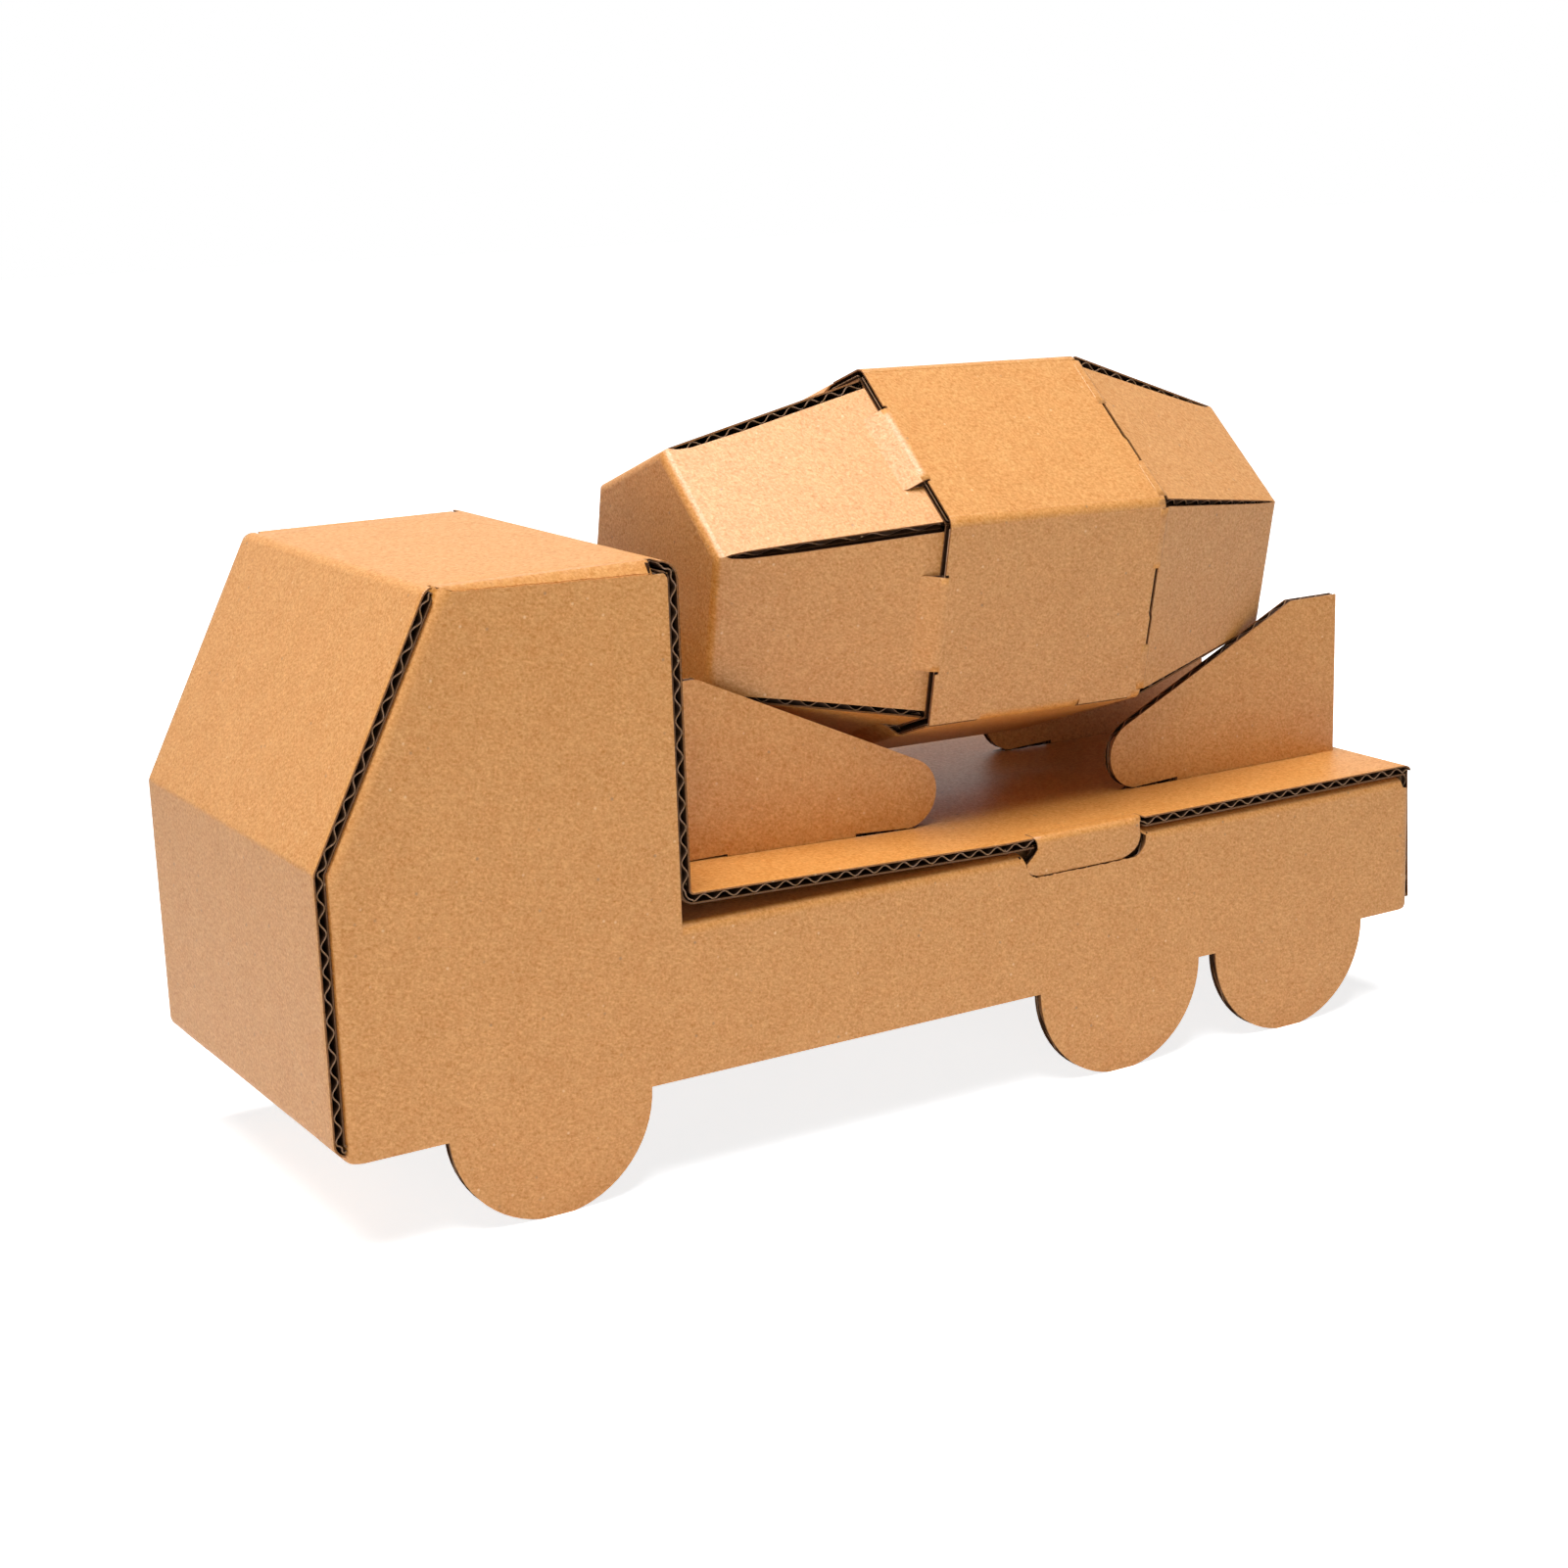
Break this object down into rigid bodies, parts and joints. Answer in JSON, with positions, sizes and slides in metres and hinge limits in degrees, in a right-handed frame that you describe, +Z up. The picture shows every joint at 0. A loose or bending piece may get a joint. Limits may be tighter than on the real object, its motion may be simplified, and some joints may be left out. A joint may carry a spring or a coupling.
{
  "type": "cardboard mixer truck",
  "caption": "Toy concrete mixer truck folded from corrugated cardboard, with a cab, half-round wheels and a six-sided drum resting in slanted cradle plates.",
  "frame": {"origin": "on the ground under the middle of the truck's overall box", "axes": "+X towards the rear wall, +Y towards the far side seen with the nose to the left, +Z up"},
  "size_m": [0.2, 0.069, 0.1142],
  "materials": {
    "board_body": "uncoated brown fibre board",
    "board_cradle": "uncoated brown fibre board",
    "board_drum": "uncoated brown fibre board"
  },
  "bodies": {
    "root": {"truck_body": "board_body", "cradle_front_near": "board_cradle", "cradle_front_far": "board_cradle", "cradle_rear_near": "board_cradle", "cradle_rear_far": "board_cradle", "drum_wrap": "board_drum", "drum_nose": "board_drum"}
  },
  "joints": []
}
